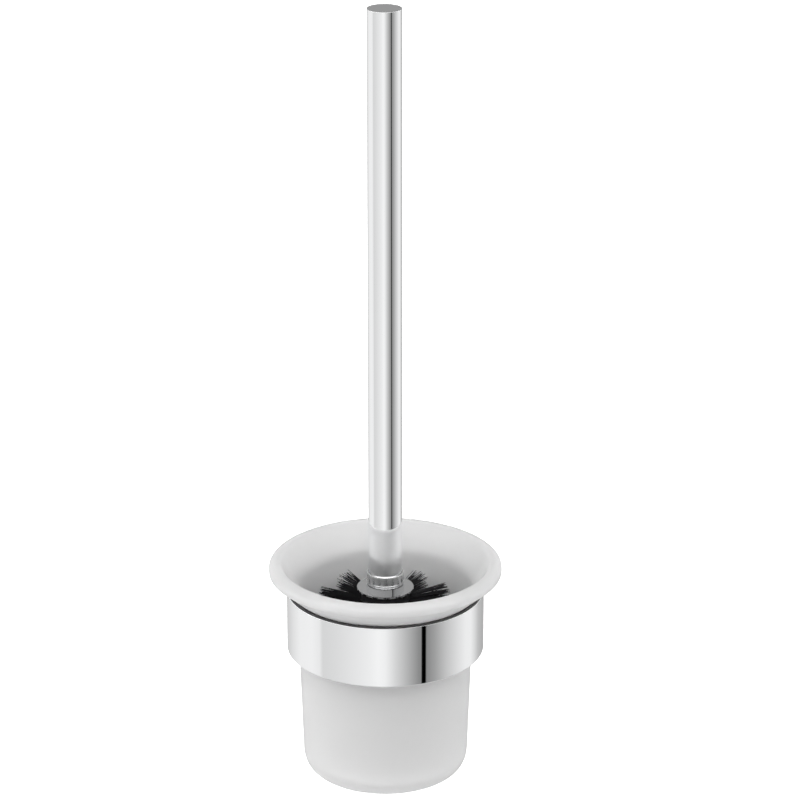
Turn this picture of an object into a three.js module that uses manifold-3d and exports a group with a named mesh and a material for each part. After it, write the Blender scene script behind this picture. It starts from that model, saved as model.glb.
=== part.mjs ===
// Wall-mounted toilet brush holder: a frosted glass cup hangs in a chrome ring on a wall
// bracket, and a brush with a plain tubular handle stands in the cup.
// Millimetres, +Z up. The origin is the centre of the wall plate's back face, level with the
// middle of the ring. The wall is the plane Y = 0 and the holder stands out from it along -Y.
import * as THREE from 'three';
import { mergeVertices } from 'three/addons/utils/BufferGeometryUtils.js';
import Module from 'manifold-3d';

const wasm = await Module();
wasm.setup();

const GAP = 0.3; // clearance between pieces that touch or slide on each other

// Wall bracket
const REACH = 70; // from the wall to the cup's axis
const PLATE_RADIUS = 18;
const PLATE_THICKNESS = 4;
const PLATE_GROOVE = 1; // depth of the groove that the grub screw grips
const WALL_SCREW_SPACING = 20;
const WALL_SCREW_RADIUS = 2.25;
const WALL_SCREW_LENGTH = 30;
const COVER_RADIUS = 20;
const COVER_DEPTH = 9.4;
const COVER_WALL = 1.6;
const ARM_RADIUS = 8;
const MACHINE_SCREW_RADIUS = 2; // M4
const TAPPED_DEPTH = 5.5;

// Ring and its liner
const RING_HEIGHT = 29.8;
const RING_RADIUS = 46.9;
const RING_INNER_RADIUS = 43.4;
const RING_EDGE = 0.3; // chamfer on the ring's outer edges
const LINER_RADIUS = 44.9;
const LINER_WALL = 3;
const LINER_HEIGHT = 8; // depth inside the ring
const FLANGE_RADIUS = 46.5;
const FLANGE_THICKNESS = 0.5;

// Glass cup, measured down from the crown of its lip
const LIP_HEIGHT = 14.4; // crown above the ring's top edge
const LIP_RADIUS = 55.3;
const CROWN_RADIUS = 50.5;
const NECK_RADIUS = 41.1;
const NECK_DEPTH = 26;
const WAIST_RADIUS = 40.5;
const WAIST_DEPTH = 56;
const FOOT_RADIUS = 39.1;
const CUP_DEPTH = 107;
const FOOT_ROUNDING = 8.5;
const GLASS_WALL = 3.6;
const GLASS_FLOOR = 5;

// Brush head, measured down from the crown of the cup's lip
const DISC_RADIUS = 13.46;
const DISC_TOP = -13.6;
const DISC_THICKNESS = 0.8;
const HUB_RADIUS = 9.05;
const HUB_TOP = -11.7;
const CORE_RADIUS = 11.5;
const CORE_BOTTOM = -92;
const ROW_COUNT = 9;
const ROW_PITCH = 8.2;
const ROW_HEIGHT = 6.5;
const FIRST_ROW = -21.7;
const TUFTS_PER_ROW = 10;
const TOP_ROW_RADIUS = 32;
const ROW_RADIUS = 34.6;
const TIP_RADIUS = 24;
const STUD_RADIUS = 4; // M8
const STUD_DEPTH = 16; // length of stud inside the core
const STUD_REACH = 9.2; // length of stud above the hub
const THREAD_PITCH = 1.25;
const THREAD_DEPTH = 0.6;

// Handle, measured from the crown of the cup's lip
const HANDLE_RADIUS = 8;
const HANDLE_TOP = 268.3;
const TUBE_WALL = 1;
const CAP_DEPTH = 6;
const INSERT_LENGTH = 24;
const COLLAR_RADIUS = 8.85;
const COLLAR_TOP = -5.3;
const COLLAR_FLOOR = 1.9;

const chrome = () => new THREE.MeshStandardMaterial({ color: 0xe4e5e6, roughness: 0.06, metalness: 1 });
const zincSteel = () => new THREE.MeshStandardMaterial({ color: 0xb4b6b8, roughness: 0.35, metalness: 1 });
const brass = () => new THREE.MeshStandardMaterial({ color: 0xc8a45a, roughness: 0.35, metalness: 1 });
const frostedGlass = () => new THREE.MeshStandardMaterial({ color: 0xf3f5f5, roughness: 0.45, metalness: 0 });
const blackRubber = () => new THREE.MeshStandardMaterial({ color: 0x202021, roughness: 0.7, metalness: 0 });
const blackPlastic = () => new THREE.MeshStandardMaterial({ color: 0x1b1b1c, roughness: 0.5, metalness: 0 });
const blackBristle = () => new THREE.MeshStandardMaterial({ color: 0x141415, roughness: 0.6, metalness: 0 });

const at = (radius, height) => new THREE.Vector2(radius, height);

// Turns an outline of (radius, height) points about Z. An outline that leaves the axis closes on itself.
function turned(outline, segments) {
  const first = outline[0];
  const onAxis = first.x === 0 && outline[outline.length - 1].x === 0;
  const points = onAxis ? outline : [...outline, first.clone()];
  return new THREE.LatheGeometry(points, segments).rotateX(Math.PI / 2);
}

// A rod or ring along Z between two heights, with or without a chamfer on its outer edges.
function rod(radius, low, high, { bore = 0, chamfer = 0, segments = 32 } = {}) {
  return turned(
    [
      at(bore, low), at(radius - chamfer, low), at(radius, low + chamfer),
      at(radius, high - chamfer), at(radius - chamfer, high), at(bore, high),
    ].filter((point, i, all) => i === 0 || !point.equals(all[i - 1])),
    segments,
  );
}

function toSolid(geometry) {
  const plain = geometry.index ? geometry.clone() : geometry;
  plain.deleteAttribute('normal');
  plain.deleteAttribute('uv');
  const merged = mergeVertices(plain, 1e-4);
  return new wasm.Manifold(new wasm.Mesh({
    numProp: 3,
    vertProperties: new Float32Array(merged.attributes.position.array),
    triVerts: new Uint32Array(merged.index.array),
  }));
}

function toGeometry(solid) {
  const mesh = solid.getMesh();
  const geometry = new THREE.BufferGeometry();
  geometry.setAttribute('position', new THREE.BufferAttribute(mesh.vertProperties, 3));
  geometry.setIndex(new THREE.BufferAttribute(mesh.triVerts, 1));
  return geometry;
}

function cut(geometry, ...tools) {
  return toGeometry(tools.reduce((solid, tool) => solid.subtract(toSolid(tool)), toSolid(geometry)));
}

// Two crossed slots, sunk into a screw head whose face is at the given height.
function crossRecess(face, towards) {
  const slot = { length: 4.6, width: 0.9, depth: 1.2 };
  const middle = face - (towards * slot.depth) / 2 + towards * GAP;
  return [0, Math.PI / 2].map((turn) => new THREE.BoxGeometry(slot.length, slot.width, slot.depth + 2 * GAP)
    .rotateZ(turn + Math.PI / 4).translate(0, 0, middle));
}

// The outline of a threaded shank from the tip at low up to high: a row of ridges.
function threadOutline(radius, depth, pitch, low, high) {
  const turns = Math.floor((high - low) / pitch);
  const outline = [];
  for (let i = 0; i < turns; i += 1) {
    const start = low + i * pitch;
    outline.push(at(radius - depth, start), at(radius, start + pitch / 2));
  }
  outline.push(at(radius - depth, low + turns * pitch));
  return outline;
}

// ---- Wall bracket. Z is the distance from the wall here, and Y points up the wall. ----

function wallPlate() {
  const middle = PLATE_THICKNESS / 2;
  const disc = turned([
    at(0, 0), at(PLATE_RADIUS, 0), at(PLATE_RADIUS, middle - PLATE_GROOVE),
    at(PLATE_RADIUS - PLATE_GROOVE, middle), at(PLATE_RADIUS, middle + PLATE_GROOVE),
    at(PLATE_RADIUS, PLATE_THICKNESS), at(0, PLATE_THICKNESS),
  ], 48);
  const holes = [-1, 1].map((side) => rod(WALL_SCREW_RADIUS + GAP, -1, PLATE_THICKNESS + 1, { segments: 16 })
    .translate((side * WALL_SCREW_SPACING) / 2, 0, 0));
  return cut(disc, ...holes);
}

function wallScrew() {
  const headRadius = 4.2;
  const headHeight = 2.4;
  const threadDepth = 0.6;
  const tip = 3;
  const seat = PLATE_THICKNESS + GAP;
  const face = seat + headHeight;
  const end = seat - WALL_SCREW_LENGTH;
  const screw = turned([
    at(0, end), ...threadOutline(WALL_SCREW_RADIUS, threadDepth, 2.2, end + tip, seat - 2),
    at(WALL_SCREW_RADIUS, seat - 1.5), at(WALL_SCREW_RADIUS, seat), at(headRadius, seat),
    at(headRadius, seat + 1), at(headRadius - 0.5, face - 0.4), at(headRadius - 1.5, face), at(0, face),
  ], 12);
  return cut(screw, ...crossRecess(face, 1));
}

function wallCover() {
  const inner = PLATE_RADIUS + GAP;
  const rounding = 1;
  const cover = turned([
    at(inner, GAP), at(COVER_RADIUS, GAP), at(COVER_RADIUS, COVER_DEPTH - rounding),
    at(COVER_RADIUS - 0.3, COVER_DEPTH - 0.3), at(COVER_RADIUS - rounding, COVER_DEPTH),
    at(MACHINE_SCREW_RADIUS + GAP, COVER_DEPTH), at(MACHINE_SCREW_RADIUS + GAP, COVER_DEPTH - COVER_WALL),
    at(inner, COVER_DEPTH - COVER_WALL),
  ], 48);
  const screwHole = rod(MACHINE_SCREW_RADIUS + GAP, PLATE_RADIUS - 2, COVER_RADIUS + 2, { segments: 16 })
    .rotateX(Math.PI / 2).translate(0, 0, PLATE_THICKNESS / 2);
  return cut(cover, screwHole);
}

// The grub screw points up into the plate's groove, and its socket faces down.
function coverScrew() {
  const point = PLATE_RADIUS - PLATE_GROOVE + 2 * GAP;
  const body = turned([
    at(0, point), at(0.6, point), at(MACHINE_SCREW_RADIUS, point + 1.4),
    at(MACHINE_SCREW_RADIUS, COVER_RADIUS - 0.5), at(MACHINE_SCREW_RADIUS - 0.3, COVER_RADIUS - 0.2),
    at(0, COVER_RADIUS - 0.2),
  ], 16);
  const socket = rod(1.1, COVER_RADIUS - 1.4, COVER_RADIUS + 1, { segments: 6 });
  return cut(body, socket).rotateX(Math.PI / 2).translate(0, 0, PLATE_THICKNESS / 2);
}

function supportArm() {
  const ringFace = REACH - RING_RADIUS - GAP;
  const start = COVER_DEPTH + GAP;
  const post = rod(ARM_RADIUS, start, ringFace + 3, { segments: 36 });
  const ring = rod(RING_RADIUS + GAP, -ARM_RADIUS - 2, ARM_RADIUS + 2, { segments: 128 })
    .rotateX(Math.PI / 2).translate(0, 0, REACH);
  const tapped = MACHINE_SCREW_RADIUS + GAP;
  const backHole = rod(tapped, start - 1, start + TAPPED_DEPTH, { segments: 16 });
  const frontHole = rod(tapped, ringFace - TAPPED_DEPTH, ringFace + 4, { segments: 16 });
  return cut(post, ring, backHole, frontHole);
}

function armScrew() {
  const seat = COVER_DEPTH - COVER_WALL - GAP;
  const headRadius = 3.6;
  const headHeight = 1.9;
  const screw = turned([
    at(0, seat - headHeight), at(headRadius - 0.9, seat - headHeight), at(headRadius, seat - 1),
    at(headRadius, seat), at(MACHINE_SCREW_RADIUS, seat),
    at(MACHINE_SCREW_RADIUS, seat + TAPPED_DEPTH + 0.8), at(MACHINE_SCREW_RADIUS - 0.6, seat + TAPPED_DEPTH + 1.4),
    at(0, seat + TAPPED_DEPTH + 1.4),
  ], 20);
  return cut(screw, ...crossRecess(seat - headHeight, -1));
}

// The countersink in the ring, as a tool, or with a smaller size the head of the screw in it.
function countersunk(tip, shrink) {
  const face = REACH - RING_INNER_RADIUS;
  const headRadius = 3.9;
  const headHeight = 1.8;
  return [
    at(0, tip), at(MACHINE_SCREW_RADIUS + GAP - shrink, tip),
    at(MACHINE_SCREW_RADIUS + GAP - shrink, face - headHeight - shrink),
    at(headRadius - shrink, face - shrink),
  ];
}

function ringScrewHole() {
  const end = REACH - RING_INNER_RADIUS + 2;
  const outline = countersunk(REACH - RING_RADIUS - 2, 0);
  return turned([...outline, at(outline[3].x, end), at(0, end)], 20);
}

function ringScrew() {
  const tip = REACH - RING_RADIUS - TAPPED_DEPTH;
  const outline = countersunk(tip, GAP);
  const screw = turned([...outline, at(0, outline[3].y)], 20);
  return cut(screw, ...crossRecess(outline[3].y, 1));
}

// ---- Ring, liner and cup. Z is measured from the crown of the cup's lip here. ----

function holderRing() {
  const top = -LIP_HEIGHT;
  const low = top - RING_HEIGHT;
  const shoulder = top - LINER_HEIGHT - 2 * GAP;
  const band = turned([
    at(RING_INNER_RADIUS, low), at(RING_RADIUS - RING_EDGE, low), at(RING_RADIUS, low + RING_EDGE),
    at(RING_RADIUS, top - RING_EDGE), at(RING_RADIUS - RING_EDGE, top),
    at(LINER_RADIUS + GAP, top), at(LINER_RADIUS + GAP, shoulder), at(RING_INNER_RADIUS, shoulder),
  ], 64);
  const hole = ringScrewHole().rotateX(Math.PI / 2).translate(0, REACH, low + RING_HEIGHT / 2);
  return cut(band, hole);
}

// The seat: a sleeve inside the ring, with a thin flange on the ring's top edge.
function seatLiner() {
  const top = -LIP_HEIGHT;
  const low = top - GAP - LINER_HEIGHT;
  const inner = LINER_RADIUS - LINER_WALL;
  const flangeTop = top + GAP + FLANGE_THICKNESS;
  return turned([
    at(inner, low), at(LINER_RADIUS, low), at(LINER_RADIUS, top + GAP), at(FLANGE_RADIUS, top + GAP),
    at(FLANGE_RADIUS, flangeTop), at(LINER_RADIUS, flangeTop), at(inner + 1.85, top - 0.2),
    at(inner + 0.9, top - 2.3), at(inner + 0.3, top - 3.9), at(inner, top - 5.3),
  ], 48);
}

// The cup's outline from the axis under its foot, up the outside, over the lip and down the inside.
function cupOutline() {
  const path = new THREE.Path();
  const footInner = FOOT_RADIUS - GLASS_WALL + 0.4;
  const floor = GLASS_FLOOR - CUP_DEPTH;
  path.moveTo(0, -CUP_DEPTH);
  path.lineTo(FOOT_RADIUS - FOOT_ROUNDING - 0.6, -CUP_DEPTH);
  path.bezierCurveTo(
    FOOT_RADIUS - 3, -CUP_DEPTH, FOOT_RADIUS - 0.4, 3.6 - CUP_DEPTH, FOOT_RADIUS, FOOT_ROUNDING + 1 - CUP_DEPTH,
  );
  path.lineTo(WAIST_RADIUS, -WAIST_DEPTH);
  path.lineTo(NECK_RADIUS, -NECK_DEPTH);
  path.bezierCurveTo(NECK_RADIUS + 0.1, -19, 42.2, -15.3, 44.3, -13.7);
  path.lineTo(LIP_RADIUS - 0.6, -5.3);
  path.lineTo(LIP_RADIUS, -4.6);
  path.bezierCurveTo(LIP_RADIUS, -2.2, CROWN_RADIUS + 2.4, 0, CROWN_RADIUS, 0);
  path.bezierCurveTo(49.2, 0, 48.6, -1.6, 47.4, -3.6);
  path.lineTo(41.9, -13.1);
  path.bezierCurveTo(40.5, -15.8, NECK_RADIUS - GLASS_WALL + 0.2, -22, NECK_RADIUS - GLASS_WALL, -NECK_DEPTH - 2);
  path.lineTo(WAIST_RADIUS - GLASS_WALL, -WAIST_DEPTH);
  path.lineTo(footInner, floor + 8);
  path.bezierCurveTo(footInner - 0.3, floor + 2.5, footInner - 3, floor, footInner - 8, floor);
  path.lineTo(0, floor);
  return path.getPoints(4);
}

// ---- Brush head. ----

// A thin round plate with a low hub for the handle's collar to sit on.
function brushDisc() {
  const low = DISC_TOP - DISC_THICKNESS;
  const edge = 0.2;
  return turned([
    at(STUD_RADIUS + GAP, low), at(DISC_RADIUS - edge, low), at(DISC_RADIUS, low + edge),
    at(DISC_RADIUS, DISC_TOP - edge), at(DISC_RADIUS - edge, DISC_TOP), at(HUB_RADIUS, DISC_TOP),
    at(HUB_RADIUS, HUB_TOP), at(STUD_RADIUS + GAP, HUB_TOP),
  ], 40);
}

function brushCore() {
  const top = DISC_TOP - DISC_THICKNESS - GAP;
  const bore = STUD_RADIUS + GAP;
  return turned([
    at(0, CORE_BOTTOM), at(CORE_RADIUS - 5, CORE_BOTTOM), at(CORE_RADIUS - 1.5, CORE_BOTTOM + 1.5),
    at(CORE_RADIUS, CORE_BOTTOM + 5), at(CORE_RADIUS, top), at(bore, top),
    at(bore, top - STUD_DEPTH), at(0, top - STUD_DEPTH),
  ], 32);
}

function brushStud() {
  const low = DISC_TOP - DISC_THICKNESS - STUD_DEPTH;
  const high = HUB_TOP + STUD_REACH;
  const thread = threadOutline(STUD_RADIUS, THREAD_DEPTH, THREAD_PITCH, HUB_TOP, high);
  return turned([at(0, low), at(STUD_RADIUS, low), at(STUD_RADIUS, HUB_TOP - 1), ...thread, at(0, high)], 16);
}

// One ring of tufts: a flat star with a wide point for each tuft.
function bristleRow(radius, turn) {
  const step = (2 * Math.PI) / TUFTS_PER_ROW;
  const valley = CORE_RADIUS + 0.55 * (radius - CORE_RADIUS);
  const star = new THREE.Shape();
  for (let i = 0; i < TUFTS_PER_ROW; i += 1) {
    [[-0.5, valley], [-0.3, radius], [0.3, radius]].forEach(([share, r], k) => {
      const angle = turn + (i + share) * step;
      const point = [r * Math.cos(angle), r * Math.sin(angle)];
      if (i === 0 && k === 0) star.moveTo(...point);
      else star.lineTo(...point);
    });
  }
  star.closePath();
  star.holes.push(new THREE.Path().absarc(0, 0, CORE_RADIUS + GAP, 0, 2 * Math.PI, true));
  return new THREE.ExtrudeGeometry(star, { depth: ROW_HEIGHT, bevelEnabled: false, curveSegments: 10 })
    .translate(0, 0, -ROW_HEIGHT / 2);
}

// The tuft under the core: a shallow bowl that stands on the floor of the cup.
function bristleTip() {
  const low = GLASS_FLOOR - CUP_DEPTH + GAP;
  const top = FIRST_ROW - (ROW_COUNT - 1) * ROW_PITCH - ROW_HEIGHT / 2 - GAP;
  const bore = CORE_RADIUS + GAP;
  return turned([
    at(0, low), at(TIP_RADIUS - 3, low), at(TIP_RADIUS, low + 3), at(TIP_RADIUS + 5, top),
    at(bore, top), at(bore, CORE_BOTTOM - GAP), at(0, CORE_BOTTOM - GAP),
  ], 32);
}

// ---- Handle. ----

function handleCollar() {
  const low = HUB_TOP + GAP;
  const sleeve = HANDLE_RADIUS + GAP;
  const floor = low + COLLAR_FLOOR;
  return turned([
    at(STUD_RADIUS + GAP, low), at(COLLAR_RADIUS - 0.5, low), at(COLLAR_RADIUS, low + 0.5),
    at(COLLAR_RADIUS, COLLAR_TOP - 0.6), at(COLLAR_RADIUS - 0.6, COLLAR_TOP), at(sleeve, COLLAR_TOP),
    at(sleeve, floor), at(STUD_RADIUS + GAP, floor),
  ], 40);
}

const tubeLow = HUB_TOP + 2 * GAP + COLLAR_FLOOR;

function handleTube() {
  return rod(HANDLE_RADIUS, tubeLow, HANDLE_TOP, { bore: HANDLE_RADIUS - TUBE_WALL, chamfer: 0.2, segments: 40 });
}

function handleCap() {
  return rod(HANDLE_RADIUS - TUBE_WALL - GAP, HANDLE_TOP - CAP_DEPTH, HANDLE_TOP, { chamfer: 0.2 });
}

function handleInsert() {
  const bore = STUD_RADIUS + GAP;
  const radius = HANDLE_RADIUS - TUBE_WALL - GAP;
  const boreEnd = HUB_TOP + STUD_REACH + 3;
  return turned([
    at(bore, tubeLow), at(radius, tubeLow), at(radius, tubeLow + INSERT_LENGTH), at(0, tubeLow + INSERT_LENGTH),
    at(0, boreEnd), at(bore, boreEnd),
  ], 32);
}

function piece(name, geometry, material, parent) {
  const mesh = new THREE.Mesh(geometry, material);
  mesh.name = name;
  parent.add(mesh);
  return mesh;
}

const group = new THREE.Group();

// Turned so that its Z leads away from the wall and its Y stays up.
const bracket = new THREE.Group();
bracket.rotation.x = Math.PI / 2;
group.add(bracket);

piece('wall_plate', wallPlate(), zincSteel(), bracket);
piece('wall_screw_left', wallScrew(), zincSteel(), bracket).position.x = -WALL_SCREW_SPACING / 2;
piece('wall_screw_right', wallScrew(), zincSteel(), bracket).position.x = WALL_SCREW_SPACING / 2;
piece('wall_cover', wallCover(), chrome(), bracket);
piece('cover_screw', coverScrew(), zincSteel(), bracket);
piece('support_arm', supportArm(), chrome(), bracket);
piece('arm_screw', armScrew(), zincSteel(), bracket);
piece('ring_screw', ringScrew(), zincSteel(), bracket);

// Everything about the cup's axis, measured from the crown of the lip.
const stand = new THREE.Group();
stand.position.set(0, -REACH, RING_HEIGHT / 2 + LIP_HEIGHT);
group.add(stand);

piece('holder_ring', holderRing(), chrome(), stand);
piece('seat_liner', seatLiner(), blackRubber(), stand);
piece('glass_cup', turned(cupOutline(), 48), frostedGlass(), stand);

piece('brush_disc', brushDisc(), chrome(), stand);
piece('brush_core', brushCore(), blackPlastic(), stand);
piece('brush_stud', brushStud(), zincSteel(), stand);
for (let i = 0; i < ROW_COUNT; i += 1) {
  const radius = i === 0 ? TOP_ROW_RADIUS : ROW_RADIUS;
  const stagger = i % 2 === 0 ? 0 : Math.PI / TUFTS_PER_ROW;
  const row = bristleRow(radius, Math.PI / 2 + stagger);
  piece(`bristle_row_${i + 1}`, row, blackBristle(), stand).position.z = FIRST_ROW - i * ROW_PITCH;
}
piece('bristle_tip', bristleTip(), blackBristle(), stand);

piece('handle_collar', handleCollar(), chrome(), stand);
piece('handle_tube', handleTube(), chrome(), stand);
piece('handle_cap', handleCap(), chrome(), stand);
piece('handle_insert', handleInsert(), brass(), stand);

export default group;
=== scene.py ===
# Looks for the wall-mounted toilet brush holder. Everything is in metres, in the frame of the
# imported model: +Z is up, the wall is the plane Y = 0 and the cup stands out from it along -Y.
import math
import random

import bmesh
import bpy
from mathutils import Matrix, Vector


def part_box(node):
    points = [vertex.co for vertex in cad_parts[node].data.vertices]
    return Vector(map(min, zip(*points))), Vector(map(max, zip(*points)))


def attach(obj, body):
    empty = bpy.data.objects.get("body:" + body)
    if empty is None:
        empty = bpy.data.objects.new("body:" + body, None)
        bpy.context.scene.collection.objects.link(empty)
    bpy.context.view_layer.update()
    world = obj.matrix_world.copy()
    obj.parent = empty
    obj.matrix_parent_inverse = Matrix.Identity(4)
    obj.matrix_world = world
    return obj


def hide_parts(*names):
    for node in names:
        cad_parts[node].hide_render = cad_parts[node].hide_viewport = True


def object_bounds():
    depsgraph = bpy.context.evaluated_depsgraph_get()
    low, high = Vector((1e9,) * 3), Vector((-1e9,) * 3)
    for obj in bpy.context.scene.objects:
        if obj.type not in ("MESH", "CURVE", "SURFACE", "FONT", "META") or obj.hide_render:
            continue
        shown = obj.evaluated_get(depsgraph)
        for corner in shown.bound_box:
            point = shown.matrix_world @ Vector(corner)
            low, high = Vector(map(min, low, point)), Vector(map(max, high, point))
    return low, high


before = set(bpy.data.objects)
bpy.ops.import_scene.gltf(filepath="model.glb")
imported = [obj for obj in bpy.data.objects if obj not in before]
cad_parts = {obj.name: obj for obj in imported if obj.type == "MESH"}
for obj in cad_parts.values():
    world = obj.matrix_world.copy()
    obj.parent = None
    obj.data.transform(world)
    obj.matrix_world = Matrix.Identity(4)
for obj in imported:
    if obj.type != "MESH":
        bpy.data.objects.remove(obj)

MM = 0.001
ROUND = 2 * math.pi
cad_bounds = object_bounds()
random.seed(7)


def low_z(node):
    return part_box(node)[0].z


def high_z(node):
    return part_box(node)[1].z


def radius_of(node):
    """Half the width of a node that is round about the cup's axis."""
    low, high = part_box(node)
    return (high.x - low.x) / 2


AXIS = (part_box("handle_tube")[0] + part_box("handle_tube")[1]) / 2
AXIS.z = 0
CROWN = high_z("glass_cup")
WALL_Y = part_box("wall_plate")[1].y
BRACKET_Z = (low_z("wall_plate") + high_z("wall_plate")) / 2
GAP = 0.3 * MM               # between pieces that fit loosely
SHADOW_GAP = 0.06 * MM       # between pieces that are pressed together
HOLD = 0.1 * MM              # how near a supporting edge lies to the edge it keeps crisp
CRISP = 32                   # edges sharper than this many degrees stay crisp
TUBE_WALL = 1.0 * MM
THREAD_PITCH = 1.25 * MM     # of the M8 stud


# ---- Materials ----

NOISE_LOW, NOISE_HIGH = 0.3, 0.7       # most of a noise texture lies between these


def new_material(name, color, roughness, metallic=0.0, **inputs):
    """A Principled material with its constant values on the shader's own sockets."""
    material = bpy.data.materials.new(name)
    material.use_nodes = True
    shader = material.node_tree.nodes["Principled BSDF"]
    shader.inputs["Base Color"].default_value = (*color, 1)
    shader.inputs["Roughness"].default_value = roughness
    shader.inputs["Metallic"].default_value = metallic
    for socket, value in inputs.items():
        shader.inputs[socket.replace("_", " ")].default_value = value
    return material


def noise(material, scale, detail=4.0, stretch=(1, 1, 1)):
    """A noise texture in the object's own space, scale cells to the metre."""
    tree = material.node_tree
    place = tree.nodes.new("ShaderNodeTexCoord")
    mapping = tree.nodes.new("ShaderNodeMapping")
    texture = tree.nodes.new("ShaderNodeTexNoise")
    mapping.inputs["Scale"].default_value = stretch
    texture.inputs["Scale"].default_value = scale
    texture.inputs["Detail"].default_value = detail
    tree.links.new(place.outputs["Object"], mapping.inputs["Vector"])
    tree.links.new(mapping.outputs["Vector"], texture.inputs["Vector"])
    return texture


def vary_roughness(material, texture, low, high):
    """Spreads the roughness between two values with the texture."""
    tree = material.node_tree
    spread = tree.nodes.new("ShaderNodeMapRange")
    spread.inputs["From Min"].default_value = NOISE_LOW
    spread.inputs["From Max"].default_value = NOISE_HIGH
    spread.inputs["To Min"].default_value = low
    spread.inputs["To Max"].default_value = high
    tree.links.new(texture.outputs["Fac"], spread.inputs["Value"])
    tree.links.new(spread.outputs["Result"], tree.nodes["Principled BSDF"].inputs["Roughness"])


def vary_color(material, texture, dark, light):
    """Spreads the color between two tones with the texture."""
    tree = material.node_tree
    ramp = tree.nodes.new("ShaderNodeValToRGB")
    ramp.color_ramp.elements[0].position = NOISE_LOW
    ramp.color_ramp.elements[0].color = (*dark, 1)
    ramp.color_ramp.elements[1].position = NOISE_HIGH
    ramp.color_ramp.elements[1].color = (*light, 1)
    tree.links.new(texture.outputs["Fac"], ramp.inputs["Fac"])
    tree.links.new(ramp.outputs["Color"], tree.nodes["Principled BSDF"].inputs["Base Color"])


def roughen(material, texture, strength, depth):
    """Adds fine surface relief."""
    tree = material.node_tree
    bump = tree.nodes.new("ShaderNodeBump")
    bump.inputs["Strength"].default_value = strength
    bump.inputs["Distance"].default_value = depth
    tree.links.new(texture.outputs["Fac"], bump.inputs["Height"])
    tree.links.new(bump.outputs["Normal"], tree.nodes["Principled BSDF"].inputs["Normal"])


def polished_chrome():
    material = new_material("polished_chrome", (0.90, 0.905, 0.91), 0.03, metallic=1.0)
    vary_roughness(material, noise(material, 90, stretch=(1, 1, 0.3)), 0.018, 0.05)
    roughen(material, noise(material, 260, detail=2), 0.02, 0.02 * MM)
    return material


def satin_chrome():
    material = new_material("satin_chrome", (0.86, 0.865, 0.87), 0.2, metallic=1.0)
    vary_roughness(material, noise(material, 700, stretch=(1, 1, 6)), 0.17, 0.23)
    roughen(material, noise(material, 1200, stretch=(0.2, 0.2, 5)), 0.03, 0.02 * MM)
    return material


def satin_glass():
    material = new_material("satin_glass", (0.97, 0.97, 0.97), 0.5, IOR=1.5, Transmission_Weight=0.5)
    vary_roughness(material, noise(material, 400), 0.5, 0.62)
    roughen(material, noise(material, 2600, detail=6), 0.12, 0.04 * MM)
    return material


# Black rubber for the liner. It is partly painted shade: on the liner's thin flange it blackens the ring's
# top edge, standing for the shadow line under the lip.
def black_rubber():
    material = new_material("black_rubber", (0.045, 0.045, 0.046), 0.6)
    vary_roughness(material, noise(material, 500), 0.5, 0.7)
    roughen(material, noise(material, 3500, detail=5), 0.2, 0.03 * MM)
    return material


def black_nylon():
    material = new_material("black_nylon", (0.006, 0.006, 0.007), 0.5, Specular_IOR_Level=0.25)
    vary_color(material, noise(material, 1400), (0.003, 0.003, 0.004), (0.012, 0.012, 0.013))
    vary_roughness(material, noise(material, 900), 0.42, 0.62)
    return material


def moulded_black():
    material = new_material("moulded_black", (0.015, 0.015, 0.017), 0.45)
    vary_roughness(material, noise(material, 700), 0.38, 0.52)
    roughen(material, noise(material, 3000, detail=5), 0.15, 0.03 * MM)
    return material


def zinc_plate():
    material = new_material("zinc_plate", (0.60, 0.61, 0.63), 0.34, metallic=1.0)
    vary_color(material, noise(material, 320), (0.52, 0.53, 0.55), (0.68, 0.69, 0.70))
    vary_roughness(material, noise(material, 500, stretch=(1, 1, 4)), 0.26, 0.42)
    roughen(material, noise(material, 2400, detail=5), 0.1, 0.03 * MM)
    return material


def turned_brass():
    material = new_material("turned_brass", (0.72, 0.55, 0.27), 0.3, metallic=1.0)
    vary_roughness(material, noise(material, 300, stretch=(1, 1, 14)), 0.22, 0.4)
    roughen(material, noise(material, 900, stretch=(0.1, 0.1, 6)), 0.15, 0.03 * MM)
    return material


CHROME = polished_chrome()
SATIN = satin_chrome()
GLASS = satin_glass()
RUBBER_AND_SHADE = black_rubber()
NYLON = black_nylon()
BLACK = moulded_black()
ZINC = zinc_plate()
BRASS = turned_brass()


# ---- Mesh tools ----

def new_object(name, mesh, material=None, sharp_above=CRISP):
    """An object that shades smooth, with edges sharper than an angle in degrees kept crisp."""
    piece = bpy.data.objects.new(name, mesh)
    bpy.context.scene.collection.objects.link(piece)
    if material is not None:
        mesh.materials.append(material)
    mesh.shade_smooth()
    mesh.set_sharp_from_angle(angle=math.radians(sharp_above))
    return piece


def mesh_from(name, points, faces):
    """A clean mesh: doubled points are merged and all faces point outwards."""
    mesh = bpy.data.meshes.new(name)
    mesh.from_pydata(points, [], faces)
    mesh.validate()
    tidy = bmesh.new()
    tidy.from_mesh(mesh)
    bmesh.ops.remove_doubles(tidy, verts=tidy.verts, dist=1e-7)
    bmesh.ops.recalc_face_normals(tidy, faces=tidy.faces)
    tidy.to_mesh(mesh)
    tidy.free()
    return mesh


def held(outline, closed):
    """Adds a point close to each end of the long straight stretches, so that they shade flat."""
    long = 15 * HOLD
    points = []
    for i, here in enumerate(outline):
        points.append(here)
        there = outline[(i + 1) % len(outline)]
        length = math.dist(here, there)
        if length > long and (closed or i + 1 < len(outline)):
            for share in (HOLD / length, 1 - HOLD / length):
                points.append(tuple(a + (b - a) * share for a, b in zip(here, there)))
    return points


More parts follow.
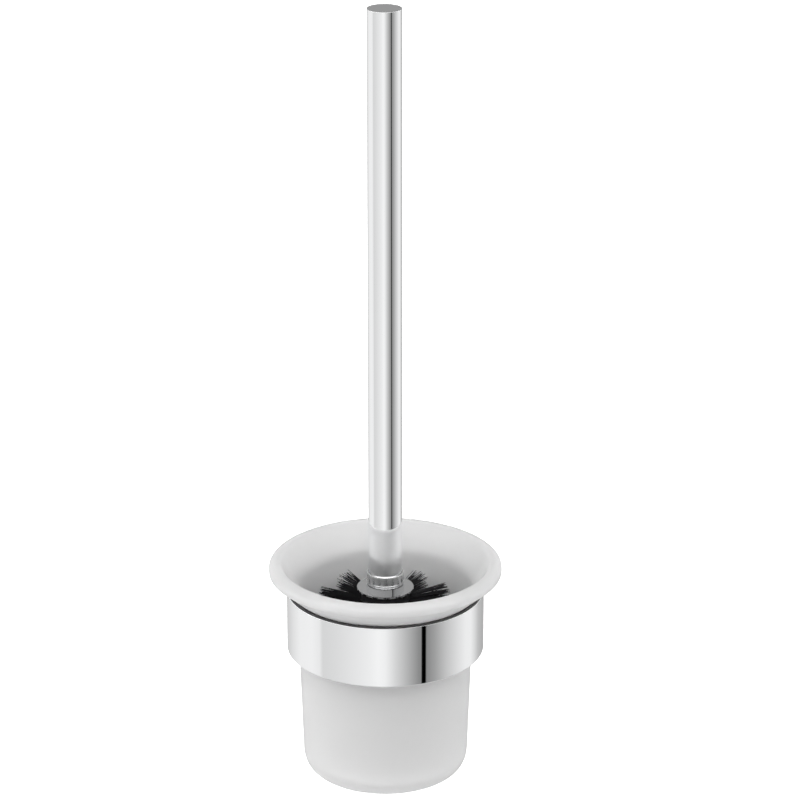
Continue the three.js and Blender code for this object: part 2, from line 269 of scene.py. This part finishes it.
def turned_mesh(name, outline, segments):
    """Turns (radius, z) points about Z. An outline that leaves the axis closes on itself."""
    on_axis = outline[0][0] == 0 and outline[-1][0] == 0
    outline = held(outline, not on_axis)
    points, faces = [], []
    for i in range(segments):
        angle = ROUND * i / segments
        points += [(r * math.cos(angle), r * math.sin(angle), z) for r, z in outline]
    count = len(outline)
    for i in range(segments):
        here, there = i * count, (i + 1) % segments * count
        for k in range(count - 1 if on_axis else count):
            after = (k + 1) % count
            faces.append([here + k, there + k, there + after, here + after])
    return mesh_from(name, points, faces)


def turned(name, outline, material, segments=160, sharp_above=CRISP):
    """A piece turned about the cup's axis. The outline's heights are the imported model's."""
    piece = new_object(name, turned_mesh(name, outline, segments), material, sharp_above)
    piece.data.transform(Matrix.Translation(AXIS))
    return piece


OFF_WALL = Matrix.Translation((0, WALL_Y, BRACKET_Z)) @ Matrix.Rotation(math.pi / 2, 4, "X")


def turned_off_wall(name, outline, material, segments=96):
    """A piece turned about the bracket's axis. The outline's heights are distances from the wall."""
    piece = new_object(name, turned_mesh(name, outline, segments), material)
    piece.data.transform(OFF_WALL)
    return piece


def arc(center, radius, start, end, steps):
    """Points (r, z) on an arc between two angles in degrees, with 0 along r and 90 along z."""
    angles = [math.radians(start + (end - start) * i / steps) for i in range(steps + 1)]
    return [(center[0] + radius * math.cos(a), center[1] + radius * math.sin(a)) for a in angles]


def bezier(p0, p1, p2, p3, steps):
    """Points after p0 up to p3 on a cubic curve."""
    points = []
    for i in range(1, steps + 1):
        t = i / steps
        weights = ((1 - t) ** 3, 3 * t * (1 - t) ** 2, 3 * t * t * (1 - t), t ** 3)
        points.append(tuple(sum(w * p[k] for w, p in zip(weights, (p0, p1, p2, p3))) for k in (0, 1)))
    return points


def apply_modifiers(piece):
    """Keeps the shape that the modifiers give, without the modifiers."""
    graph = bpy.context.evaluated_depsgraph_get()
    mesh = bpy.data.meshes.new_from_object(piece.evaluated_get(graph))
    piece.modifiers.clear()
    piece.data = mesh


def cut(piece, tool):
    """Takes the tool's volume away from the piece, and removes the tool."""
    modifier = piece.modifiers.new("cut", "BOOLEAN")
    modifier.operation = "DIFFERENCE"
    modifier.solver = "EXACT"
    modifier.object = tool
    bpy.context.view_layer.update()
    apply_modifiers(piece)
    bpy.data.objects.remove(tool)
    piece.data.set_sharp_from_angle(angle=math.radians(CRISP))


def finish_piece(piece, body, slot, *nodes):
    """Says which body carries the piece and which CAD nodes it replaces. The slot, what it is made of, is
    not used.
    """
    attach(piece, body)
    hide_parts(*nodes)


# ---- Camera, light and backdrop ----

def add_camera():
    """A long lens, 1.5 m in front of the cup's axis and 0.65 m above its lip, looking down 21
    degrees. The cup's axis stands a little left of the picture's middle."""
    aside, distance, above, tilt = 0.00697, 1.497, 0.6543, 69.05
    data = bpy.data.cameras.new("camera")
    data.lens = 155
    data.sensor_width = 36
    data.clip_end = 50
    camera = bpy.data.objects.new("camera", data)
    camera.location = (AXIS.x + aside, AXIS.y - distance, CROWN + above)
    camera.rotation_euler = (math.radians(tilt), 0, 0)
    bpy.context.scene.collection.objects.link(camera)
    bpy.context.scene.camera = camera


# What stands round the studio below eye level, as (degrees to the right of the front, brightness):
# a wide softbox on the left, a glow in front, a narrow black flag on the right and a second softbox
# past it.
STUDIO = [
    (-180, 0.60), (-157, 0.66), (-138, 0.80), (-119, 0.93), (-95, 0.95), (-83, 0.89), (-78, 0.73),
    (-60, 0.77), (-35, 0.86), (-20, 0.92), (-8, 0.99), (0, 0.95), (7, 0.82), (12, 0.72), (25, 0.51),
    (40, 0.28), (43.1, 0.27), (43.5, 0.0), (48.0, 0.0), (48.4, 0.26), (60, 0.38), (77, 0.61), (95, 0.80),
    (108, 0.92), (119, 0.93), (128, 0.78), (140, 0.56), (157, 0.45), (180, 0.50),
]
# The same round at eye level, where softboxes light the matt surfaces from both sides.
STUDIO_LEVEL = [
    (-180, 0.9), (-120, 2.2), (-90, 3.8), (-55, 2.7), (-20, 1.45), (0, 1.2), (40, 1.35), (80, 3.0),
    (110, 3.3), (140, 1.5), (180, 0.9),
]
# And above eye level, where the studio is dim all round.
STUDIO_ABOVE = [
    (-180, 0.33), (-90, 0.36), (0, 0.30), (43.1, 0.28), (43.5, 0.0), (48.0, 0.0), (48.4, 0.17),
    (65, 0.28), (110, 0.33), (180, 0.33),
]
OVERHEAD_FRONT = 2.5         # the ceiling softbox on the camera's side
OVERHEAD_BACK = 0.25         # and on the wall's side
FLOOR = 0.64                 # the floor straight below


def add_world():
    """The studio round the object, as nodes that turn a direction into a brightness."""
    world = bpy.data.worlds.new("studio")
    world.use_nodes = True
    bpy.context.scene.world = world
    nodes, links = world.node_tree.nodes, world.node_tree.links

    def math_node(operation, *values):
        node = nodes.new("ShaderNodeMath")
        node.operation = operation
        for socket, value in zip(node.inputs, values):
            if isinstance(value, (int, float)):
                socket.default_value = value
            else:
                links.new(value, socket)
        return node.outputs[0]

    def smooth_step(value, start, end):
        node = nodes.new("ShaderNodeMapRange")
        node.interpolation_type = "SMOOTHSTEP"
        node.inputs["From Min"].default_value = start
        node.inputs["From Max"].default_value = end
        links.new(value, node.inputs["Value"])
        return node.outputs["Result"]

    def blend(factor, first, second):
        node = nodes.new("ShaderNodeMix")
        links.new(factor, node.inputs["Factor"])
        for socket, value in zip((node.inputs["A"], node.inputs["B"]), (first, second)):
            if isinstance(value, (int, float)):
                socket.default_value = value
            else:
                links.new(value, socket)
        return node.outputs["Result"]

    direction = nodes.new("ShaderNodeSeparateXYZ")
    links.new(nodes.new("ShaderNodeTexCoord").outputs["Generated"], direction.inputs[0])
    x, y, z = direction.outputs
    turn = math_node("ARCTAN2", x, math_node("MULTIPLY", y, -1.0))
    round_share = math_node("ADD", math_node("DIVIDE", turn, ROUND), 0.5)

    def ring_of_light(table):
        ramp = nodes.new("ShaderNodeValToRGB")
        links.new(round_share, ramp.inputs["Fac"])
        stops = ramp.color_ramp.elements
        for i, (degrees, brightness) in enumerate(table):
            stop = stops[i] if i < 2 else stops.new(degrees / 360 + 0.5)
            stop.position = degrees / 360 + 0.5
            stop.color = (brightness, brightness, brightness, 1)
        return ramp.outputs["Color"]

    # z runs from -1, straight down, to 1, straight up. Each band blends into the next over a stretch.
    level = blend(smooth_step(z, -0.75, -0.55), FLOOR, ring_of_light(STUDIO))
    level = blend(smooth_step(z, -0.2, -0.05), level, ring_of_light(STUDIO_LEVEL))
    level = blend(smooth_step(z, 0.1, 0.2), level, ring_of_light(STUDIO_ABOVE))
    overhead = blend(smooth_step(y, 0.4, -0.4), OVERHEAD_BACK, OVERHEAD_FRONT)
    level = blend(smooth_step(z, 0.5, 0.7), level, overhead)
    links.new(level, nodes["Background"].inputs["Color"])


def add_bounce_card():
    """A small soft light under the cup, like a white card on the table."""
    forward, below = 0.02, 0.09
    data = bpy.data.lights.new("bounce_card", "AREA")
    data.shape = "DISK"
    data.size = 0.13
    data.energy = 0.033
    card = bpy.data.objects.new("bounce_card", data)
    card.location = (AXIS.x, AXIS.y - forward, cad_bounds[0][2] - below)
    card.rotation_euler = (math.pi, 0, 0)
    card.visible_camera = False
    card.visible_glossy = False
    bpy.context.scene.collection.objects.link(card)


def add_backdrop():
    """A seamless white sweep all round, well below the cup. Only the camera sees it."""
    floor_z = cad_bounds[0][2] - 0.5
    reach, bend, height, thick = 6.0, 2.0, 5.0, 0.01
    outline = [(0, floor_z), (reach - bend, floor_z)]
    outline += arc((reach - bend, floor_z + bend), bend, -90, 0, 12) + [(reach, floor_z + height)]
    outline += [(reach + thick, floor_z + height), (reach + thick, floor_z - thick), (0, floor_z - thick)]
    material = new_material("white_sweep", (0.9, 0.9, 0.9), 0.9,
                            Emission_Color=(1, 1, 1, 1), Emission_Strength=1.0)
    vary_roughness(material, noise(material, 3), 0.85, 0.95)
    sweep = new_object("white_sweep", turned_mesh("white_sweep", outline, 64), material)
    sweep.visible_diffuse = False
    sweep.visible_glossy = False
    sweep.visible_transmission = False
    sweep.visible_shadow = False


# ---- Handle ----

def build_tube():
    """The handle tube: a long thin shell with broken edges."""
    outer, low, high = radius_of("handle_tube"), low_z("handle_tube"), high_z("handle_tube")
    inner, edge = outer - TUBE_WALL, 0.1 * MM
    outline = [(inner, low), *arc((outer - edge, low + edge), edge, -90, 0, 5)]
    outline += [*arc((outer - edge, high - edge), edge, 0, 90, 5), (inner, high)]
    tube = turned("chrome_tube", outline, CHROME)
    finish_piece(tube, "handle", "chrome", "handle_tube")


def build_cap():
    """The flat plug in the tube's top, with a chamfer at its lower end that leads it in."""
    outer = radius_of("handle_tube") - TUBE_WALL - SHADOW_GAP
    low, high = low_z("handle_cap"), high_z("handle_cap")
    edge, chamfer = 0.15 * MM, 1.2 * MM
    outline = [(0, low), (outer - chamfer, low), (outer, low + chamfer)]
    outline += arc((outer - edge, high - edge), edge, 0, 90, 4) + [(0, high)]
    cap = turned("end_plug", outline, CHROME)
    finish_piece(cap, "handle", "brushed_cap", "handle_cap")


def build_collar():
    """The ferrule, with a rounded top edge and a low bead round its foot."""
    outer, low, high = radius_of("handle_collar"), low_z("handle_collar"), high_z("handle_collar")
    edge, foot, bead, step = 0.65 * MM, 0.12 * MM, 1.2 * MM, 0.12 * MM
    waist = outer - step
    sleeve = radius_of("handle_tube") + 0.12 * MM
    bore = radius_of("brush_stud") + GAP
    floor = low_z("handle_tube") - GAP
    outline = [(bore, low), *arc((outer - foot, low + foot), foot, -90, 0, 4)]
    outline += [(outer, low + bead), (waist, low + bead + step)]
    outline += arc((waist - edge, high - edge), edge, 0, 90, 6)
    outline += [(sleeve, high), (sleeve, floor), (bore, floor)]
    collar = turned("ferrule", outline, SATIN)
    finish_piece(collar, "collar", "chrome", "handle_collar")


# ---- Brush head ----

def build_disc():
    """The polished disc, with a low hub that the handle screws down on."""
    outer, low, high = radius_of("brush_disc"), low_z("brush_disc"), high_z("brush_disc")
    bore, hub, hub_height = radius_of("brush_stud") + GAP, 9.05 * MM, 1.9 * MM
    face = high - hub_height
    outline = [(bore, low), (outer, low), (outer, face), (hub, face), (hub, high), (bore, high)]
    disc = turned("top_disc", outline, CHROME)
    finish_piece(disc, "brush_head", "chrome", "brush_disc")


def build_core():
    """The core, rounded at its lower end, with a blind hole for the stud."""
    outer, low, high = radius_of("brush_core"), low_z("brush_core"), high_z("brush_core")
    bore, depth, dome, edge = radius_of("brush_stud") + GAP, 16 * MM, 5 * MM, 0.5 * MM
    outline = [(0, low), *arc((outer - dome, low + dome), dome, -90, 0, 10)]
    outline += [(outer, high - edge), (outer - edge, high), (bore, high)]
    outline += [(bore, high - depth), (0, high - depth)]
    core = turned("head_core", outline, BLACK, segments=96)
    finish_piece(core, "brush_head", "black_plastic", "brush_core")


def threaded_mesh(name, radius, depth, pitch, low, high, thread, point=0.0, around=32):
    """A rod with one helical thread between two heights, which runs out over one pitch at each end,
    and a tapered point of a given length."""
    rows_per_turn, blunt = 8, 0.12
    rows = int((high - low) / pitch * rows_per_turn)
    points, faces = [(0, 0, low)], []
    for row in range(rows + 1):
        z = low + (high - low) * row / rows
        run = min(max(min(z - thread[0], thread[1] - z) / pitch, 0), 1)
        taper = min(1.0, blunt + (1 - blunt) * (z - low) / point) if point else 1.0
        for i in range(around):
            phase = (z / pitch - i / around) % 1
            groove = depth * run * abs(2 * phase - 1)
            r = (radius - groove) * taper
            points.append((r * math.cos(ROUND * i / around), r * math.sin(ROUND * i / around), z))
    points.append((0, 0, high))
    last = len(points) - 1
    for i in range(around):
        after = (i + 1) % around
        faces.append([0, 1 + after, 1 + i])
        for row in range(rows):
            here = 1 + row * around
            faces.append([here + i, here + after, here + around + after, here + around + i])
        faces.append([last, last - around + i, last - around + after])
    return mesh_from(name, points, faces)


def build_stud():
    """The M8 stud, with a right-hand thread above the disc."""
    radius, low, high = radius_of("brush_stud"), low_z("brush_stud"), high_z("brush_stud")
    depth, thread = 0.65 * MM, (high_z("brush_disc") - 1 * MM, high)
    mesh = threaded_mesh("threaded_stud", radius, depth, THREAD_PITCH, low, high, thread)
    stud = new_object("threaded_stud", mesh, ZINC, sharp_above=60)
    stud.data.transform(Matrix.Translation(AXIS))
    finish_piece(stud, "brush_head", "zinc_steel", "brush_stud")


BRISTLE_RADIUS = 0.22 * MM
BRISTLE_SEGMENTS = 4
BRISTLE_TAPER = 0.35         # how much thinner its tip is than its root
BRISTLE_SAG = 0.5 * MM
TUFTS_PER_ROW = 10
TUFT_RADIUS = 1.9 * MM
FIRST_TUFT = math.radians(94)
ROW_REACH = 34.8 * MM        # from the axis to the tips
TOP_ROW_REACH = 32 * MM
ROOT_DEPTH = 0.4 * MM        # how far a tuft starts inside the core


def bristle(points, faces, start, end, sag):
    """Adds one thin three-sided bristle that bends by sag on its way from start to end."""
    along = (end - start).normalized()
    slanted = Vector((0.3, 0.2, 1))
    side = along.cross(slanted).normalized()
    other = along.cross(side)
    first = len(points)
    for k in range(BRISTLE_SEGMENTS + 1):
        t = k / BRISTLE_SEGMENTS
        bow, droop = 4 * t * (1 - t) * 0.5, 0.5 * t * t
        middle = start.lerp(end, t) + sag * (bow + droop)
        size = BRISTLE_RADIUS * (1 - BRISTLE_TAPER * t)
        for j in range(3):
            a = ROUND * j / 3
            points.append(middle + side * (size * math.cos(a)) + other * (size * math.sin(a)))
    for k in range(BRISTLE_SEGMENTS):
        for j in range(3):
            a, b = first + 3 * k + j, first + 3 * k + (j + 1) % 3
            faces.append([a, b, b + 3, a + 3])
    faces.append([first + 2, first + 1, first])
    end_ring = first + 3 * BRISTLE_SEGMENTS
    faces.append([end_ring, end_ring + 1, end_ring + 2])


def jitter(amount):
    return random.uniform(-amount, amount)


def tuft(points, faces, root, direction, length, count, splay):
    """Adds a bundle of bristles that leaves one hole and fans out towards its tips. They start
    in a sunflower pattern, so that they fill the hole evenly."""
    direction = direction.normalized()
    reference = Vector((0, 0, 1)) if abs(direction.z) < 0.9 else Vector((1, 0, 0))
    side = direction.cross(reference).normalized()
    upward = side.cross(direction)
    for i in range(count):
        out = math.sqrt((i + 0.5) / count)
        a = i * math.pi * (3 - math.sqrt(5)) + jitter(0.3)
        offset = side * math.cos(a) + upward * math.sin(a)
        start = root + offset * (TUFT_RADIUS * out)
        fan = offset * (splay * length * out * random.uniform(0.7, 1.15))
        straight = direction * (length * random.uniform(0.93, 1.0))
        end = root + straight + offset * (TUFT_RADIUS * out) + fan
        sag = Vector((jitter(1), jitter(1), jitter(1))) * BRISTLE_SAG
        bristle(points, faces, start, end, sag)


def build_row(number):
    """One ring of tufts. The top ring is the one in sight: it is cut shorter, and fuller."""
    node = f"bristle_row_{number}"
    middle_z = (low_z(node) + high_z(node)) / 2
    root_radius = radius_of("brush_core") - ROOT_DEPTH
    reach, count, splay = (TOP_ROW_REACH, 110, 0.18) if number == 1 else (ROW_REACH, 56, 0.22)
    trim, droop = 0.985, 0.03
    length = (reach - root_radius) * trim
    stagger = 0 if number % 2 else 0.5
    points, faces = [], []
    for i in range(TUFTS_PER_ROW):
        a = FIRST_TUFT + ROUND * (i + stagger) / TUFTS_PER_ROW + jitter(0.02)
        out = Vector((math.cos(a), math.sin(a), 0))
        root = AXIS + out * root_radius + Vector((0, 0, middle_z))
        direction = out + Vector((0, 0, jitter(droop) - droop))
        tuft(points, faces, root, direction, length, count, splay)
    mesh = mesh_from(f"tufts_{number}", points, faces)
    row = new_object(f"tufts_{number}", mesh, NYLON, sharp_above=80)
    finish_piece(row, "brush_head", "black_bristle", node)


def build_tip():
    """Tufts that leave the core's rounded end and stand on the cup's floor. Each ring has a count
    of tufts, their tilt away from straight down in degrees and their share of the core's radius."""
    low, core_low, longest = low_z("bristle_tip") + 0.3 * MM, low_z("brush_core"), 17 * MM
    inside, rise = 0.6 * MM, 2.2 * MM
    count, splay, trim = 40, 0.12, 0.93
    points, faces = [], []
    for ring, tilt, share in ((1, 0, 0), (6, 38, 0.45), (10, 64, 0.8)):
        down, outward = math.cos(math.radians(tilt)), math.sin(math.radians(tilt))
        root_z = core_low + rise * share + inside
        for i in range(ring):
            a = ROUND * (i + 0.25 * tilt) / ring
            out = Vector((math.cos(a), math.sin(a), 0))
            direction = out * outward - Vector((0, 0, down))
            root = AXIS + out * (radius_of("brush_core") * share) + Vector((0, 0, root_z))
            length = min((root.z - low) / max(down, 0.3), longest)
            tuft(points, faces, root, direction, length * trim, count, splay)
    mesh = mesh_from("tip_tufts", points, faces)
    tip = new_object("tip_tufts", mesh, NYLON, sharp_above=80)
    finish_piece(tip, "brush_head", "black_bristle", "bristle_tip")


# ---- Cup, ring and liner ----

def cup_outline():
    """From the axis under the foot, up the outside, over the lip and down the inside. The numbers
    are in millimetres, and the heights count from the lip's crown."""
    lip, foot = radius_of("glass_cup") / MM, 39.5
    bottom = (low_z("glass_cup") - CROWN) / MM
    crown, neck, belly, waist, wall, floor = 50.5, 41.1, 41.2, 40.9, 3.6, bottom + 5
    corner, neck_z, belly_z, waist_z = 8.5, -26, -40, -56
    inner_foot = foot - wall + 0.4
    outside = [(0, bottom), (foot - corner - 0.6, bottom)]
    outside += bezier(outside[-1], (foot - 3, bottom), (foot - 0.4, bottom + 3.6),
                      (foot, bottom + corner + 1), 12)
    outside += [(waist, waist_z), (belly, belly_z), (neck, neck_z)]
    outside += bezier((neck, neck_z), (neck + 0.1, -19), (42.2, -15.6), (44.6, -14.0), 12)
    outside += [(lip - 0.6, -5.3), (lip - 0.22, -5.25), (lip - 0.1, -5.1), (lip, -3.9)]
    outside += bezier((lip, -3.9), (lip, -2.5), (lip - 0.2, -1.95), (lip - 0.9, -1.35), 10)
    outside += bezier((lip - 0.9, -1.35), (lip - 2.0, -0.65), (crown + 1.5, 0), (crown, 0), 10)
    inside = bezier((crown, 0), (49.5, 0), (48.6, -1.6), (47.4, -3.6), 8)
    inside += bezier((47.4, -3.6), (45.6, -6.6), (43.3, -10.6), (41.9, -13.1), 8)
    inside += bezier((41.9, -13.1), (41.3, -14.2), (40.9, -15.4), (40.5, -16.8), 8)
    inside += bezier((40.5, -16.8), (39.6, -19.8), (neck - wall + 0.2, -24),
                     (neck - wall, neck_z - 2), 8)
    inside += [(waist - wall, waist_z), (inner_foot, floor + 8)]
    inside += bezier(inside[-1], (inner_foot - 0.3, floor + 2.5), (inner_foot - 3, floor),
                     (inner_foot - 8, floor), 10)
    inside += [(0, floor)]
    return [(r * MM, CROWN + z * MM) for r, z in outside + inside]


def build_cup():
    """The frosted glass cup with its flared lip."""
    cup = turned("satin_cup", cup_outline(), GLASS, segments=192, sharp_above=50)
    finish_piece(cup, "cup", "frosted_glass", "glass_cup")


def build_ring():
    """The polished band, with a seat for the liner and a countersunk hole at the back."""
    outer, low, high = radius_of("holder_ring"), low_z("holder_ring"), high_z("holder_ring")
    inner, seat = outer - 3.5 * MM, outer - 1.7 * MM
    shoulder, edge, break_edge = low_z("seat_liner") - GAP, 0.4 * MM, 0.15 * MM
    outline = [(inner, low + break_edge), (inner + break_edge, low)]
    outline += arc((outer - edge, low + edge), edge, -90, 0, 5)
    outline += arc((outer - break_edge, high - break_edge), break_edge, 0, 90, 3)
    outline += [(seat + break_edge, high), (seat, high - break_edge)]
    outline += [(seat, shoulder), (inner, shoulder)]
    ring = turned("chrome_band", outline, CHROME, segments=192)
    face = WALL_Y - AXIS.y - inner
    bore, sink, sink_depth = 2.3 * MM, 3.9 * MM, 1.8 * MM
    hole = [(0, face - 6 * MM), (bore, face - 6 * MM), (bore, face - sink_depth)]
    hole += [(sink, face), (sink, face + 2 * MM), (0, face + 2 * MM)]
    cut(ring, turned_off_wall("hole", hole, None, segments=40))
    finish_piece(ring, "bracket", "chrome", "holder_ring")


def build_liner():
    """The seat: a black sleeve inside the ring, with a thin flange that lies on the ring's edge. The
    flange's black is partly painted shade: it stands for the dark shadow line between the lip and the
    ring's top.
    """
    flange, low = radius_of("seat_liner"), low_z("seat_liner")
    high = high_z("seat_liner") - 0.3 * MM
    outer, inner = flange - 1.6 * MM, flange - 4.6 * MM
    lift, edge, chamfer = high_z("holder_ring") + SHADOW_GAP, 0.1 * MM, 0.3 * MM
    # The flange at lift lays painted shade, black, over the ring's top edge.
    outline = [(inner, low), (outer - chamfer, low), (outer, low + chamfer), (outer, lift), (flange, lift)]
    outline += arc((flange - edge, high - edge), edge, 0, 90, 4) + [(outer, high)]
    outline += bezier(outline[-1], (outer - 1.2 * MM, high - 1 * MM), (inner + 0.2 * MM, high - 3 * MM),
                      (inner, high - 6 * MM), 12)
    liner = turned("seat_ring", outline, RUBBER_AND_SHADE)
    finish_piece(liner, "bracket", "black_rubber", "seat_liner")


# ---- Wall bracket ----

def build_cover():
    """The rosette, with a rounded front edge and a grub-screw hole in its underside."""
    low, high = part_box("wall_cover")
    outer, depth, back = (high.x - low.x) / 2, WALL_Y - low.y, WALL_Y - high.y
    inner, wall, bore, edge = outer - 1.7 * MM, 1.6 * MM, 2.3 * MM, 1.2 * MM
    outline = [(inner, back), (outer - 0.2 * MM, back), (outer, back + 0.2 * MM)]
    outline += arc((outer - edge, depth - edge), edge, 0, 90, 8)
    outline += [(bore, depth), (bore, depth - wall), (inner, depth - wall)]
    cover = turned_off_wall("rosette", outline, CHROME, segments=128)
    screw_low, screw_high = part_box("cover_screw")
    screw_hole, reach = 2.3 * MM, 4 * MM
    hole_outline = [(0, -reach), (screw_hole, -reach), (screw_hole, reach), (0, reach)]
    hole = new_object("hole", turned_mesh("hole", hole_outline, 32))
    hole.data.transform(Matrix.Translation((screw_low + screw_high) / 2))
    cut(cover, hole)
    finish_piece(cover, "bracket", "chrome", "wall_cover")


def build_post():
    """The post between rosette and ring, hollowed at its end to sit against the ring."""
    low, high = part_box("support_arm")
    outer, start = (high.x - low.x) / 2, WALL_Y - high.y
    ring_radius = radius_of("holder_ring") + SHADOW_GAP
    end = -AXIS.y + WALL_Y - ring_radius + 3 * MM
    edge, tall = 0.3 * MM, 0.03
    outline = [(0, start), *arc((outer - edge, start + edge), edge, -90, 0, 4), (outer, end), (0, end)]
    post = turned_off_wall("post", outline, CHROME)
    band_outline = [(0, -tall), (ring_radius, -tall), (ring_radius, tall), (0, tall)]
    band = new_object("band", turned_mesh("band", band_outline, 256))
    band.data.transform(Matrix.Translation(AXIS))
    cut(post, band)
    finish_piece(post, "bracket", "chrome", "support_arm")


def build_wall_screw(node):
    """A pan-head screw: the head has a cross recess, and the shank a wood thread and a point."""
    low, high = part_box(node)
    place = Matrix.Translation(((low.x + high.x) / 2, 0, 0)) @ OFF_WALL
    tip, face = WALL_Y - high.y, WALL_Y - low.y
    head, height = (high.x - low.x) / 2, 2.4 * MM
    slot_size = (4.6 * MM, 0.9 * MM, 2.6 * MM, 1)
    outline = [(0, face - height), (head, face - height), (head, face - height + 0.9 * MM)]
    outline += bezier(outline[-1], (head - 0.1 * MM, face - 0.5 * MM), (head - 1.4 * MM, face),
                      (head - 2.6 * MM, face), 8)
    outline += [(0, face)]
    screw = new_object(f"{node}_head", turned_mesh(node, outline, 48), ZINC)
    for turn in (45, 135):
        slot_mesh = bpy.data.meshes.new("slot")
        slot = bmesh.new()
        bmesh.ops.create_cube(slot, size=1)
        slot.to_mesh(slot_mesh)
        slot.free()
        turned_slot = Matrix.Rotation(math.radians(turn), 4, "Z") @ Matrix.Diagonal(slot_size)
        slot_mesh.transform(Matrix.Translation((0, 0, face)) @ turned_slot)
        cut(screw, new_object("slot", slot_mesh))
    radius, depth, pitch = 2.25 * MM, 0.75 * MM, 2.2 * MM
    thread = (tip + 0.5 * MM, face - height - 3 * MM)
    shank_end = face - height + 0.05 * MM
    shank = threaded_mesh(node, radius, depth, pitch, tip, shank_end, thread, point=6 * MM, around=28)
    joined = bmesh.new()
    joined.from_mesh(screw.data)
    joined.from_mesh(shank)
    joined.to_mesh(screw.data)
    joined.free()
    screw.data.transform(place)
    screw.data.shade_smooth()
    screw.data.set_sharp_from_angle(angle=math.radians(40))
    finish_piece(screw, "bracket", "zinc_steel", node)


def paint_carried_nodes():
    """The CAD pieces that stay as they are get the same materials as their neighbours."""
    carried = {
        "wall_plate": ZINC, "cover_screw": ZINC, "arm_screw": ZINC, "ring_screw": ZINC,
        "handle_insert": BRASS,
    }
    for node, material in carried.items():
        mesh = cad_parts[node].data
        mesh.materials.clear()
        mesh.materials.append(material)


add_camera()
add_world()
add_bounce_card()
add_backdrop()
build_tube()
build_cap()
build_collar()
build_disc()
build_core()
build_stud()
for number in range(1, 10):
    build_row(number)
build_tip()
build_cup()
build_ring()
build_liner()
build_cover()
build_post()
build_wall_screw("wall_screw_left")
build_wall_screw("wall_screw_right")
paint_carried_nodes()
bpy.context.scene.view_settings.view_transform = "Standard"
